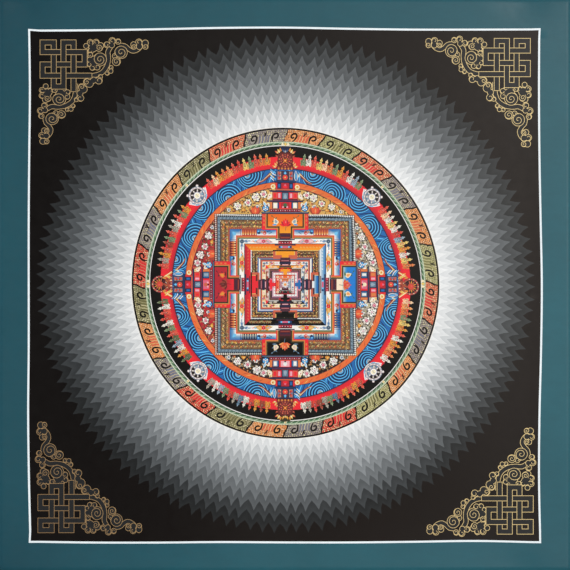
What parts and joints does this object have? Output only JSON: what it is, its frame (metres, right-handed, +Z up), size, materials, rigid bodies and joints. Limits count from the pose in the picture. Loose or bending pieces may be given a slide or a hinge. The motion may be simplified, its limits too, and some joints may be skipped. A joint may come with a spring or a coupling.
{
  "type": "thangka painting on cotton canvas, unmounted",
  "caption": "Square hand-painted cotton wall hanging with a round palace mandala on a ground of radiating zigzags, a ruled border line and a plain margin, hung flat by its top edge.",
  "frame": {"origin": "middle of the top edge, halfway through the cloth, where the canvas is held up", "axes": "+Z up along the cloth, +X to the viewer's right, +Y out of the bare cotton back, so the painted face looks along -Y"},
  "size_m": [0.61, 0.0057, 0.61],
  "materials": {
    "painted_canvas": "matte"
  },
  "bodies": {
    "root": {"painted_canvas": "painted_canvas"}
  },
  "joints": []
}
